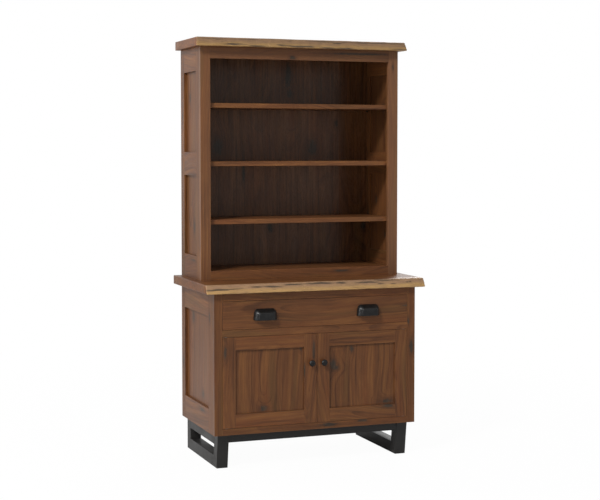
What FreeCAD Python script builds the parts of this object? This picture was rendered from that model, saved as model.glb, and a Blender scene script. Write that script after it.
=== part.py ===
# Two-piece cabinet: a base with a drawer and a pair of doors on a steel sled, and an open hutch on top.
# Millimetres, +Z up, front towards -Y. Origin on the floor under the middle of the whole piece.
import FreeCAD, Part
import math
import os

os.makedirs("parts", exist_ok=True)
V = FreeCAD.Vector

# Overall sizes
overall_height = 1829.0
base_height = 787.0            # floor to the top of the base slab
body_width = 922.0             # outside of both cabinet bodies
base_depth = 502.0
hutch_depth = 310.0
floor_gap = 148.0              # floor to the underside of the base cabinet
slab_thickness = 38.0

# Boards
frame_thickness = 20.0         # face frames
side_thickness = 24.0          # stiles and rails of the side frames
edge_ease = 0.5                # small flat along the exposed edges
groove_depth = 9.0             # panel grooves
panel_float = 1.5              # room left for a panel to move in its groove
joint_slack = 0.1              # between a stub tenon or panel face and its groove
overrun = 1.0                  # how far cutting shapes pass the faces they cut
parallel_share = 0.001         # how far two directions may differ and still count as one

# Base face frame
base_stile_width = 36.0
base_top_rail_height = 34.0
drawer_opening_height = 121.0
drawer_rail_height = 30.0
base_bottom_rail_height = 28.0

# Hutch face frame
hutch_stile_width = 44.5
hutch_top_rail_height = 50.0
hutch_bottom_rail_height = 40.0

# Side frames
side_rail_height = 101.6
side_rear_stile_width = 52.0
base_side_front_stile_width = 66.0
hutch_side_front_stile_width = 50.0
side_panel_recess = 12.0
side_panel_thickness = 6.0

# Doors
reveal = 1.2                   # gap round the doors and the drawer front
door_meeting_gap = 1.8
door_thickness = 19.0
door_member_width = 57.0
door_panel_recess = 8.0
door_panel_thickness = 6.0

# Knife hinges
pivot_from_edge = 16.0         # pin centre from the door's hinge edge
pivot_from_face = 5.0          # pin centre from the door's front face
hinge_leaf_length = 36.0
hinge_leaf_width = 8.0
hinge_leaf_thickness = 2.0
hinge_pin_radius = 2.0
hinge_pin_clearance = 0.05
hinge_pin_past_leaf = 1.5      # pin end beyond the door leaf
hinge_washer_radius = 4.0
hinge_washer_gap = 0.3

# Catch
catch_width = 64.0
catch_depth = 14.0
catch_drop = 26.0              # how far it hangs below the drawer rail
catch_top_margin = 8.0         # top of the drawer rail down to the top of the catch
strike_width = 26.0
strike_height = 15.0
strike_thickness = 0.6

# Drawer
box_wall = 12.0
box_lift = 14.0                # box bottom above the drawer rail
box_top_room = 17.0            # box top below the top rail
box_rear_room = 54.0           # box back to the cabinet's back panel
box_bottom_thickness = 6.0
box_groove_depth = 5.0
box_groove_lift = 10.0

# Slides
slide_gap = 12.7               # room for a slide between the opening and the drawer box
slide_height = 35.0
slide_sheet = 1.2
slide_flange = 9.5
slide_clearance = 0.4
slide_front_setback = 12.0
slide_rear_setback = 8.0
packer_height = 60.0

# Cup pulls
pull_spacing_from_side = 225.0
pull_base_width = 100.0
pull_base_top_width = 86.0
pull_height = 46.0
pull_front_width = 82.0
pull_front_height = 31.0
pull_depth = 25.0
pull_corner = 12.0
pull_wall = 2.6
pull_boss_radius = 4.0
pull_screw_spacing = 64.0
pull_screw_drop = 9.0          # screw centre below the top of the pull
pull_screw_radius = 2.0
pull_screw_bite = 7.0
pull_screw_head_radius = 4.0
pull_screw_head_height = 2.4
screw_clearance = 0.2

# Knobs
knob_drop = 126.0              # door top down to the knob's centre
knob_from_meeting_edge = 27.0
knob_radius = 14.0
knob_projection = 26.0
knob_foot_radius = 7.5
knob_foot_height = 3.0
knob_neck_radius = 5.0
knob_head_thickness = 11.0
knob_dome_height = 5.5
knob_dome_bands = 3            # conical bands that the dome is turned in
knob_head_ease = 2.0
knob_stud_radius = 2.2
knob_stud_cover = 5.0          # wood left behind the stud

# Cabinet insides
floor_thickness = 18.0
housing_depth = 6.0            # floors are let into the side frames by this
back_thickness = 8.0
back_rebate = 11.0
shelf_thickness = 20.0
shelf_side_gap = 1.0
shelf_back_gap = 2.0
base_shelf_setback = 30.0      # behind the face frame, clear of the doors' swing
hutch_shelf_setback = 1.0
shelf_pin_radius = 3.0
shelf_pin_reach = 9.0
shelf_pin_depth = 10.0
shelf_pin_inset = 26.0         # pin centre from a side frame's front or rear edge
pin_clearance = 0.05
base_shelf_rise = 176.0        # cupboard floor to the top of its shelf
hutch_first_shelf = 221.0      # hutch floor to the top of the lowest shelf
hutch_top_bay = 240.0          # top of the highest shelf to the underside of the slab
hutch_shelf_count = 3
back_board_count = 6
board_tongue = 5.0
board_tongue_thickness = 2.6
dowel_radius = 4.0
dowel_length = 40.0

# Sled
tube = 50.0
tube_wall = 3.0
tube_corner = 2.5
sled_side_inset = 23.0
sled_front_inset = 28.0        # body front to the top of the front post
sled_back_inset = 2.0
sled_front_rake = 21.0         # how far back the front post's foot stands
crossbar = 38.0
crossbar_setback = 6.0
batten_width = 90.0

# Live-edge slabs: overhangs, and how far the bark face leans back at its top edge
base_end_overhang = 38.0
hutch_end_overhang = 25.0
base_reach_left = 26.5
base_reach_right = 27.0
base_lean_left = 15.0
base_lean_right = 24.0
hutch_reach_left = 39.0
hutch_reach_right = 46.0
hutch_lean_left = 5.0
hutch_lean_right = 29.0
bark_corner = 2.5
bark_swell = 1.6
bark_drift = 1.2
slab_stations = 31
bark_height_shares = (0.0, 0.05, 0.28, 0.52, 0.76, 0.95, 1.0)
bark_tuck_shares = (1.0, 0.25, 0.0, 0.0, 0.0, 0.25, 1.0)
bark_swell_shares = (0.2, 0.3, 1.0, -0.5, 0.7, 0.2, 0.1)
bark_wave_counts = (3.3, 7.1)
bark_wave_phase_shares = (0.15, 0.62)

# Heights that follow
slab_underside = base_height - slab_thickness
body_top = slab_underside
drawer_top = body_top - base_top_rail_height
drawer_bottom = drawer_top - drawer_opening_height
door_top = drawer_bottom - drawer_rail_height
door_bottom = floor_gap + base_bottom_rail_height
hutch_top = overall_height - slab_thickness
hutch_opening_top = hutch_top - hutch_top_rail_height
hutch_opening_bottom = base_height + hutch_bottom_rail_height

half_width = body_width / 2
opening_half = half_width - base_stile_width
hutch_opening_half = half_width - hutch_stile_width
inner_half = half_width - side_thickness


def wave(share, count, phase):
    """A sine along the slab, from -1 to 1, at a share of its length."""
    return math.sin(2 * math.pi * (share * count + phase))


def bark_section(share, reach, lean):
    """How far the bark face stands out at one station, listed from the bottom edge to the top edge."""
    reach = reach[0] + (reach[1] - reach[0]) * share
    lean = lean[0] + (lean[1] - lean[0]) * share
    drift = bark_drift * wave(share, bark_wave_counts[0], bark_wave_phase_shares[0])
    swell = bark_swell * wave(share, bark_wave_counts[1], bark_wave_phase_shares[1])
    section = []
    for height, tuck, puff in zip(bark_height_shares, bark_tuck_shares, bark_swell_shares):
        section.append(reach + drift + swell * puff - lean * height - bark_corner * tuck)
    return section


def slab_sections(reach, lean):
    """The bark face's sections from the left end to the right end."""
    shares = [i / (slab_stations - 1) for i in range(slab_stations)]
    return shares, [bark_section(share, reach, lean) for share in shares]


# Places from front to back: the whole depth, bark edge included, is centred on the origin
base_reach = (base_reach_left, base_reach_right)
base_lean = (base_lean_left, base_lean_right)
slab_reach = max(max(section) for section in slab_sections(base_reach, base_lean)[1])
front = (slab_reach - base_depth) / 2
back = front + base_depth
hutch_front = back - hutch_depth
frame_back = front + frame_thickness
hutch_frame_back = hutch_front + frame_thickness
back_panel_front = back - back_thickness

parts = {}


def box(x, y, z):
    """A box between pairs of coordinates."""
    return Part.makeBox(x[1] - x[0], y[1] - y[0], z[1] - z[0], V(x[0], y[0], z[0]))


def eased(solid, along, face_axis, face_at):
    """Takes a small flat off the edges that run along one axis and lie in one face."""
    chosen = []
    for edge in solid.Edges:
        a, b = (vertex.Point for vertex in edge.Vertexes)
        runs = all(math.isclose(a[i], b[i], abs_tol=joint_slack) for i in range(3) if i != along)
        lies = math.isclose(a[face_axis], face_at, abs_tol=joint_slack)
        if runs and lies and math.isclose(b[face_axis], face_at, abs_tol=joint_slack):
            chosen.append(edge)
    return solid.makeChamfer(edge_ease, chosen)


def rod(radius, start, end):
    """A round bar from one point to another."""
    path = end - start
    return Part.makeCylinder(radius, path.Length, start, path)


def prism(points, direction):
    """A straight solid from a closed outline."""
    outline = Part.makePolygon(points + points[:1])
    return Part.Face(outline).extrude(direction)


def add(name, *solids):
    parts.setdefault(name, []).extend(solids)


def cut_from(names, tool):
    """Cuts one shape out of every solid of the named pieces that it meets."""
    for name in names:
        parts[name] = [s.cut(tool) if s.common(tool).Volume > 0 else s for s in parts[name]]


class Panelled:
    """A stile-and-rail frame standing in a vertical plane, with panels in grooves.

    u runs along the frame, z up, and depth is counted inwards from the show face.
    """

    def __init__(self, u_axis, face, inward, thickness, recess, panel):
        self.u_axis = u_axis
        self.face = face
        self.inward = inward
        self.thickness = thickness
        self.recess = recess
        self.panel = panel

    def block(self, u, z, depth):
        across = sorted((self.face + self.inward * depth[0], self.face + self.inward * depth[1]))
        if self.u_axis == 0:
            return box(u, across, z)
        return box(across, u, z)

    def groove(self, u, z):
        low = self.recess - joint_slack
        return self.block(u, z, (low, self.recess + self.panel + joint_slack))

    def finish(self, solid, along):
        return eased(solid, along, 1 - self.u_axis, self.face)

    def stile(self, u, z, groove_low, groove_high):
        """An upright, grooved along its low edge, its high edge or both."""
        solid = self.finish(self.block(u, z, (0, self.thickness)), 2)
        long = (z[0] - overrun, z[1] + overrun)
        if groove_low:
            solid = solid.cut(self.groove((u[0] - overrun, u[0] + groove_depth), long))
        if groove_high:
            solid = solid.cut(self.groove((u[1] - groove_depth, u[1] + overrun), long))
        return solid

    def rail(self, u, z, groove_under, groove_over):
        """A rail with stub tenons that sit in the stiles' grooves."""
        solid = self.finish(self.block(u, z, (0, self.thickness)), self.u_axis)
        long = (u[0] - overrun, u[1] + overrun)
        if groove_under:
            solid = solid.cut(self.groove(long, (z[0] - overrun, z[0] + groove_depth)))
        if groove_over:
            solid = solid.cut(self.groove(long, (z[1] - groove_depth, z[1] + overrun)))
        reach = groove_depth - joint_slack
        low = z[0] + (groove_depth if groove_under else 0)
        high = z[1] - (groove_depth if groove_over else 0)
        tenon = self.block((u[0] - reach, u[1] + reach), (low, high),
                           (self.recess, self.recess + self.panel))
        return solid.fuse(tenon).removeSplitter()

    def panel_board(self, u, z):
        """A panel filling an opening, set in its grooves and standing on the lower one."""
        reach = groove_depth - panel_float
        return self.block((u[0] - reach, u[1] + reach), (z[0] - groove_depth, z[1] + reach),
                          (self.recess, self.recess + self.panel))


def live_edge_slab(x, y_back, y_body, z, reach, lean):
    """A sawn board whose front is cut back to a leaning, swelling bark face.

    The waste that is cut away is lofted along the board, from one bark section to the next.
    """
    shares, sections = slab_sections(reach, lean)
    y_front = y_body - max(max(section) for section in sections) - overrun
    wires = []
    for share, section in zip(shares, sections):
        at = x[0] + (x[1] - x[0]) * share
        bark = [V(at, y_body - out, z[0] + (z[1] - z[0]) * height)
                for height, out in zip(bark_height_shares, section)]
        below = [V(at, y_front - overrun, z[0] - overrun), V(at, bark[0].y, z[0] - overrun)]
        above = [V(at, bark[-1].y, z[1] + overrun), V(at, y_front - overrun, z[1] + overrun)]
        points = below + bark + above
        wires.append(Part.makePolygon(points + points[:1]))
    return box(x, (y_front, y_back), z).cut(Part.makeLoft(wires, True, True))


def build_sides():
    """Side frames of the base and the hutch, left and right."""
    for side, sign in (("left", -1), ("right", 1)):
        frame = Panelled(1, sign * half_width, -sign, side_thickness, side_panel_recess, side_panel_thickness)

        y0, y3 = frame_back, back
        y1, y2 = y0 + base_side_front_stile_width, y3 - side_rear_stile_width
        tall = (floor_gap, body_top)
        inner = (floor_gap + side_rail_height, body_top - side_rail_height)
        add(f"base_{side}_stiles", frame.stile((y0, y1), tall, False, True))
        add(f"base_{side}_stiles", frame.stile((y2, y3), tall, True, False))
        add(f"base_{side}_rails", frame.rail((y1, y2), (tall[0], inner[0]), False, True))
        add(f"base_{side}_rails", frame.rail((y1, y2), (inner[1], tall[1]), True, False))
        add(f"base_{side}_panel", frame.panel_board((y1, y2), inner))

        y0, y1 = hutch_frame_back, hutch_frame_back + hutch_side_front_stile_width
        tall = (base_height, hutch_top)
        panel_height = (tall[1] - tall[0] - 3 * side_rail_height) / 2
        low = (tall[0] + side_rail_height, tall[0] + side_rail_height + panel_height)
        high = (low[1] + side_rail_height, low[1] + side_rail_height + panel_height)
        add(f"hutch_{side}_stiles", frame.stile((y0, y1), tall, False, True))
        add(f"hutch_{side}_stiles", frame.stile((y2, y3), tall, True, False))
        add(f"hutch_{side}_rails", frame.rail((y1, y2), (tall[0], low[0]), False, True))
        add(f"hutch_{side}_rails", frame.rail((y1, y2), (low[1], high[0]), True, True))
        add(f"hutch_{side}_rails", frame.rail((y1, y2), (high[1], tall[1]), True, False))
        add(f"hutch_{side}_panels", frame.panel_board((y1, y2), low))
        add(f"hutch_{side}_panels", frame.panel_board((y1, y2), high))


def build_face_frames():
    """Face frames, flush with the outsides of the side frames."""
    def upright(x, y, z):
        return eased(box(x, y, z), 2, 1, y[0])

    def cross(x, y, z):
        return eased(box(x, y, z), 0, 1, y[0])

    y = (front, frame_back)
    for sign in (-1, 1):
        x = sorted((sign * opening_half, sign * half_width))
        add("base_face_stiles", upright(x, y, (floor_gap, body_top)))
    across = (-opening_half, opening_half)
    add("base_face_top_rail", cross(across, y, (drawer_top, body_top)))
    add("base_drawer_rail", cross(across, y, (door_top, drawer_bottom)))
    add("base_face_bottom_rail", cross(across, y, (floor_gap, door_bottom)))

    y = (hutch_front, hutch_frame_back)
    for sign in (-1, 1):
        x = sorted((sign * hutch_opening_half, sign * half_width))
        add("hutch_face_stiles", upright(x, y, (base_height, hutch_top)))
    across = (-hutch_opening_half, hutch_opening_half)
    add("hutch_face_top_rail", cross(across, y, (hutch_opening_top, hutch_top)))
    add("hutch_face_bottom_rail", cross(across, y, (base_height, hutch_opening_bottom)))


def build_slabs():
    """The two live-edge tops and the dowels that hold the hutch in place on the lower one."""
    x = (-half_width - base_end_overhang, half_width + base_end_overhang)
    add("base_top_slab", live_edge_slab(x, back, front, (slab_underside, base_height), base_reach, base_lean))
    x = (-half_width - hutch_end_overhang, half_width + hutch_end_overhang)
    add("hutch_top_slab", live_edge_slab(x, back, hutch_front, (hutch_top, overall_height),
                                         (hutch_reach_left, hutch_reach_right),
                                         (hutch_lean_left, hutch_lean_right)))
    for sign in (-1, 1):
        for y in (hutch_frame_back + hutch_side_front_stile_width / 2, back - side_rear_stile_width / 2):
            foot = V(sign * (half_width - side_thickness / 2), y, base_height - dowel_length / 2)
            head = foot + V(0, 0, dowel_length)
            add("hutch_dowels", rod(dowel_radius, foot, head))
            hole = rod(dowel_radius + pin_clearance, foot, head)
            cut_from(("base_top_slab", "hutch_left_stiles", "hutch_right_stiles"), hole)


def build_floors_and_backs():
    """Floors housed in the side frames, backs in rebates, and the sled's battens under the base floor."""
    reach = inner_half + housing_depth
    base_floor_z = (door_bottom - floor_thickness, door_bottom)
    hutch_floor_z = (hutch_opening_bottom - floor_thickness, hutch_opening_bottom)
    for name, y0, z in (("base", frame_back, base_floor_z), ("hutch", hutch_frame_back, hutch_floor_z)):
        board = box((-reach, reach), (y0, back_panel_front), z)
        frames = [f"{name}_{side}_{kind}" for side in ("left", "right") for kind in ("stiles", "rails")]
        cut_from(frames, board)
        add(f"{name}_floor", board)

    edge = half_width - side_thickness + back_rebate
    base_back = box((-edge, edge), (back_panel_front, back), (floor_gap, body_top))
    cut_from(("base_left_stiles", "base_right_stiles"), base_back)
    add("base_back_panel", base_back)
    hutch_back = box((-edge, edge), (back_panel_front, back), (base_height, hutch_top))
    cut_from(("hutch_left_stiles", "hutch_right_stiles"), hutch_back)
    board_width = 2 * edge / back_board_count
    middle = back - back_thickness / 2
    half_tongue = board_tongue_thickness / 2
    for i in range(back_board_count):
        x = (-edge + i * board_width, -edge + (i + 1) * board_width)
        board = box(x, (back_panel_front, back), (base_height, hutch_top))
        if i > 0:
            slot = box((x[0] - overrun, x[0] + board_tongue + joint_slack),
                       (middle - half_tongue - joint_slack, middle + half_tongue + joint_slack),
                       (base_height - overrun, hutch_top + overrun))
            board = board.cut(slot)
        if i < back_board_count - 1:
            tongue = box((x[1] - overrun, x[1] + board_tongue), (middle - half_tongue, middle + half_tongue),
                         (base_height, hutch_top))
            board = board.fuse(tongue).removeSplitter()
        add("hutch_back_boards", board)

    for sign in (-1, 1):
        x = sorted((sign * inner_half, sign * (inner_half - batten_width)))
        add("sled_battens", box(x, (frame_back, back_panel_front), (floor_gap, base_floor_z[0])))


def build_shelves():
    """Shelves on round pins in the side frames' stiles."""
    def shelf(name, top, y0):
        half = inner_half - shelf_side_gap
        y = (y0, back_panel_front - shelf_back_gap)
        z = (top - shelf_thickness, top)
        add(name, eased(box((-half, half), y, z), 0, 1, y[0]))
        return z[0]

    def pins(name, frames, under, y0):
        for sign in (-1, 1):
            for y in (y0 + shelf_pin_inset, back - shelf_pin_inset):
                start = V(sign * (inner_half + shelf_pin_depth), y, under - shelf_pin_radius)
                end = V(sign * (inner_half - shelf_pin_reach), y, under - shelf_pin_radius)
                cut_from(frames, rod(shelf_pin_radius + pin_clearance, start, end))
                add(name, rod(shelf_pin_radius, start, end))

    under = shelf("base_inner_shelf", door_bottom + base_shelf_rise, frame_back + base_shelf_setback)
    pins("base_shelf_pins", ("base_left_stiles", "base_right_stiles"), under, frame_back)
    lowest = hutch_opening_bottom + hutch_first_shelf
    pitch = (hutch_top - hutch_top_bay - lowest) / (hutch_shelf_count - 1)
    for i in range(hutch_shelf_count):
        under = shelf("hutch_shelves", lowest + i * pitch, hutch_frame_back + hutch_shelf_setback)
        pins("hutch_shelf_pins", ("hutch_left_stiles", "hutch_right_stiles"), under, hutch_frame_back)


def pull_block(width, top_width, front_width, y, z_low, corner):
    """A tapered block: wide at the drawer front, smaller at its face, with its two upper corners round."""
    slope = (width - top_width) / 2 / pull_height
    rear, face = [], []
    for quad, half, height, at in ((rear, width / 2, pull_height, y[0]),
                                   (face, front_width / 2, pull_front_height, y[1])):
        top = half - slope * height
        quad += [V(-half, at, z_low), V(half, at, z_low), V(top, at, z_low + height), V(-top, at, z_low + height)]
    sides = [rear[::-1], face] + [[rear[i - 1], rear[i], face[i], face[i - 1]] for i in range(4)]
    block = Part.Solid(Part.Shell([Part.Face(Part.makePolygon(side + side[:1])) for side in sides]))
    upper = []
    for edge in block.Edges:
        a, b = (vertex.Point for vertex in edge.Vertexes)
        if abs(a.y - b.y) > joint_slack and min(a.z, b.z) > z_low + joint_slack:
            upper.append(edge)
    return block.makeFillet(corner, upper)


def cup_pull():
    """A bin pull round its own centre: a hollow cup open below and behind, with two screw bosses."""
    z_low = -pull_height / 2
    outer = pull_block(pull_base_width, pull_base_top_width, pull_front_width, (0, -pull_depth), z_low,
                       pull_corner)
    inset = 2 * pull_wall
    inner = pull_block(pull_base_width - inset, pull_base_top_width - inset, pull_front_width - inset,
                       (overrun, -pull_depth + pull_wall), z_low - pull_wall, pull_corner - pull_wall)
    cup = outer.cut(inner)
    boss_z = pull_height / 2 - pull_screw_drop
    for sign in (-1, 1):
        foot = V(sign * pull_screw_spacing / 2, 0, boss_z)
        cup = cup.fuse(rod(pull_boss_radius, foot, foot + V(0, -pull_depth, 0)).common(outer))
        cup = cup.cut(rod(pull_screw_radius, foot, foot + V(0, -pull_screw_bite, 0)))
    return cup.removeSplitter()


def build_drawer():
    """Drawer front, box, pulls with their screws, slides and packers."""
    x = (-opening_half + reveal, opening_half - reveal)
    z = (drawer_bottom + reveal, drawer_top - reveal)
    board = eased(box(x, (front, frame_back), z), 0, 1, front)
    add("drawer_front", eased(board, 2, 1, front))

    half = opening_half - slide_gap
    inside = half - box_wall
    z = (drawer_bottom + box_lift, drawer_top - box_top_room)
    y = (frame_back, back_panel_front - box_rear_room)
    groove_z = (z[0] + box_groove_lift, z[0] + box_groove_lift + box_bottom_thickness)
    reach = inside + box_groove_depth
    bottom = box((-reach, reach), (y[0] + box_wall - box_groove_depth, y[1]), groove_z)
    for sign in (-1, 1):
        add("drawer_sides", box(sorted((sign * inside, sign * half)), y, z).cut(bottom))
    add("drawer_box_front", box((-inside, inside), (y[0], y[0] + box_wall), z).cut(bottom))
    add("drawer_back", box((-inside, inside), (y[1] - box_wall, y[1]), (groove_z[1], z[1])))
    add("drawer_bottom", bottom)

    pull_z = (drawer_top + drawer_bottom) / 2
    for side, sign in (("left", -1), ("right", 1)):
        pull_x = sign * (half_width - pull_spacing_from_side)
        pull = cup_pull()
        pull.translate(V(pull_x, front, pull_z))
        add(f"cup_pull_{side}", pull)
        for off in (-pull_screw_spacing / 2, pull_screw_spacing / 2):
            inner_face = V(pull_x + off, frame_back + box_wall, pull_z + pull_height / 2 - pull_screw_drop)
            tip = V(inner_face.x, front - pull_screw_bite, inner_face.z)
            shank = rod(pull_screw_radius, inner_face, tip)
            head = rod(pull_screw_head_radius, inner_face, inner_face + V(0, pull_screw_head_height, 0))
            add("pull_screws", shank.fuse(head).removeSplitter())
            cut_from(("drawer_front", "drawer_box_front"),
                     rod(pull_screw_radius + screw_clearance, inner_face, tip))

    middle = (z[0] + z[1]) / 2
    slide_y = (y[0] + slide_front_setback, y[1] - slide_rear_setback)
    packer_y = (frame_back, back_panel_front)
    for sign in (-1, 1):
        tall = (middle - slide_height / 2, middle + slide_height / 2)
        outer = sorted((sign * opening_half, sign * (opening_half - slide_flange)))
        hollow = sorted((sign * (opening_half - slide_sheet), sign * (opening_half - slide_flange - overrun)))
        channel = box(outer, slide_y, tall)
        channel = channel.cut(box(hollow, (slide_y[0] - overrun, slide_y[1] + overrun),
                                  (tall[0] + slide_sheet, tall[1] - slide_sheet)))
        add("slide_cabinet_members", channel)
        short = slide_sheet + slide_clearance
        low = (tall[0] + short, tall[1] - short)
        outer = sorted((sign * half, sign * (half + slide_flange)))
        hollow = sorted((sign * (half + slide_sheet), sign * (half + slide_flange + overrun)))
        runner = box(outer, slide_y, low)
        runner = runner.cut(box(hollow, (slide_y[0] - overrun, slide_y[1] + overrun),
                                (low[0] + slide_sheet, low[1] - slide_sheet)))
        add("slide_drawer_members", runner)
        packer_x = sorted((sign * opening_half, sign * inner_half))
        packer_z = (middle - packer_height / 2, middle + packer_height / 2)
        add("slide_packers", box(packer_x, packer_y, packer_z))


def knob(stud_length):
    """A turned knob with a foot, a waist and a domed head, standing out towards -Y from the origin."""
    rim = knob_projection - knob_dome_height
    head_back = knob_projection - knob_head_thickness
    sphere = (knob_radius ** 2 + knob_dome_height ** 2) / (2 * knob_dome_height)
    dome_angle = math.asin(knob_radius / sphere)
    outline = [V(0, -knob_projection, 0), V(0, stud_length, 0),
               V(knob_stud_radius, stud_length, 0), V(knob_stud_radius, 0, 0),
               V(knob_foot_radius, 0, 0), V(knob_foot_radius, -knob_foot_height, 0),
               V(knob_neck_radius, -(knob_foot_height + head_back) / 2, 0),
               V(knob_radius - knob_head_ease, -head_back, 0),
               V(knob_radius, -head_back - knob_head_ease, 0), V(knob_radius, -rim, 0)]
    for band in range(knob_dome_bands - 1, 0, -1):
        angle = dome_angle * band / knob_dome_bands
        outline.append(V(sphere * math.sin(angle), -knob_projection + sphere * (1 - math.cos(angle)), 0))
    face = Part.Face(Part.makePolygon(outline + outline[:1]))
    return Part.makeSolid(face.revolve(V(0, 0, 0), V(0, 1, 0), 360))


def build_doors():
    """A pair of inset doors on knife hinges, with knobs, a catch and strike plates."""
    door_width = (2 * opening_half - 2 * reveal - door_meeting_gap) / 2
    z = (door_bottom + reveal, door_top - reveal)
    for side, sign in (("left", -1), ("right", 1)):
        frame = Panelled(0, front, 1, door_thickness, door_panel_recess, door_panel_thickness)
        edge = sign * (opening_half - reveal)
        x = sorted((edge, edge - sign * door_width))
        inner_x = (x[0] + door_member_width, x[1] - door_member_width)
        inner_z = (z[0] + door_member_width, z[1] - door_member_width)
        add(f"{side}_door_stiles", frame.stile((x[0], inner_x[0]), z, False, True))
        add(f"{side}_door_stiles", frame.stile((inner_x[1], x[1]), z, True, False))
        add(f"{side}_door_rails", frame.rail(inner_x, (z[0], inner_z[0]), False, True))
        add(f"{side}_door_rails", frame.rail(inner_x, (inner_z[1], z[1]), True, False))
        add(f"{side}_door_panel", frame.panel_board(inner_x, inner_z))

        stud = V(edge - sign * (door_width - knob_from_meeting_edge), front, z[1] - knob_drop)
        stud_length = door_thickness - knob_stud_cover
        piece = knob(stud_length)
        piece.translate(stud)
        add(f"{side}_door_knob", piece)
        cut_from((f"{side}_door_stiles",),
                 rod(knob_stud_radius + screw_clearance, stud, stud + V(0, stud_length + overrun, 0)))

        pivot_x = edge - sign * pivot_from_edge
        pivot_y = front + pivot_from_face
        leaf_y = (pivot_y - hinge_leaf_width / 2, pivot_y + hinge_leaf_width / 2)
        leaf_x = sorted((edge - sign * (pivot_from_edge - hinge_leaf_width / 2),
                         edge - sign * (pivot_from_edge - hinge_leaf_width / 2 + hinge_leaf_length)))
        for up, frame_z, door_z, carrier in ((1, door_top, z[1], "base_drawer_rail"),
                                             (-1, door_bottom, z[0], "base_face_bottom_rail")):
            frame_leaf = box(leaf_x, leaf_y, sorted((frame_z, frame_z + up * hinge_leaf_thickness)))
            cut_from((carrier,), frame_leaf)
            pin_end = door_z - up * (hinge_leaf_thickness + hinge_pin_past_leaf)
            pin = rod(hinge_pin_radius, V(pivot_x, pivot_y, frame_z), V(pivot_x, pivot_y, pin_end))
            add("hinge_frame_leaves", frame_leaf.fuse(pin).removeSplitter())
            door_leaf = box(leaf_x, leaf_y, sorted((door_z, door_z - up * hinge_leaf_thickness)))
            cut_from((f"{side}_door_stiles",), door_leaf)
            bore = rod(hinge_pin_radius + hinge_pin_clearance, V(pivot_x, pivot_y, frame_z),
                       V(pivot_x, pivot_y, pin_end - up * overrun))
            cut_from((f"{side}_door_stiles",), bore)
            add(f"{side}_door_hinge_leaves", door_leaf.cut(bore))
            thickness = reveal - hinge_washer_gap
            low = frame_z if up < 0 else frame_z - thickness
            washer = rod(hinge_washer_radius, V(pivot_x, pivot_y, low), V(pivot_x, pivot_y, low + thickness))
            add("hinge_washers", washer.cut(rod(hinge_pin_radius + hinge_pin_clearance,
                                                V(pivot_x, pivot_y, low - overrun),
                                                V(pivot_x, pivot_y, low + thickness + overrun))))

        strike_x = sign * (door_meeting_gap + catch_width / 2) / 2
        strike_z = door_top - catch_drop / 2 - reveal / 2
        add(f"{side}_door_strike", box((strike_x - strike_width / 2, strike_x + strike_width / 2),
                                       (front + door_thickness, front + door_thickness + strike_thickness),
                                       (strike_z - strike_height / 2, strike_z + strike_height / 2)))

    y = (frame_back, frame_back + catch_depth)
    z = (door_top - catch_drop, drawer_bottom - catch_top_margin)
    add("door_catch", box((-catch_width / 2, catch_width / 2), y, z))


def corner_at(outline, i, inset):
    """The corner of a closed convex outline after each side moves inwards by the inset."""
    def side(a, b):
        run = b - a
        normal = V(0, -run.z, run.y).normalize()
        return a + normal * inset, run

    count = len(outline)
    p, d = side(outline[i - 1], outline[i])
    q, e = side(outline[i], outline[(i + 1) % count])
    cross = d.y * e.z - d.z * e.y
    along = ((q.y - p.y) * e.z - (q.z - p.z) * e.y) / cross
    return p + d * along


def parallel(a, b):
    return a.cross(b).Length < parallel_share * a.Length * b.Length


def rounded_tube(quad, hollow_quad, x, wall):
    """A length of square tube: an outline between its mitres, hollow inside, with rounded long edges."""
    solid = prism([V(x[0], p.y, p.z) for p in quad], V(x[1] - x[0], 0, 0))
    run = quad[1] - quad[0]
    ends = [edge.Vertexes[1].Point - edge.Vertexes[0].Point for edge in solid.Edges]
    solid = solid.makeFillet(tube_corner, [e for e, along in zip(solid.Edges, ends) if parallel(along, run)])
    cavity = prism([V(x[0] + wall, p.y, p.z) for p in hollow_quad], V(x[1] - x[0] - 2 * wall, 0, 0))
    return solid.cut(cavity)


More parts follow.
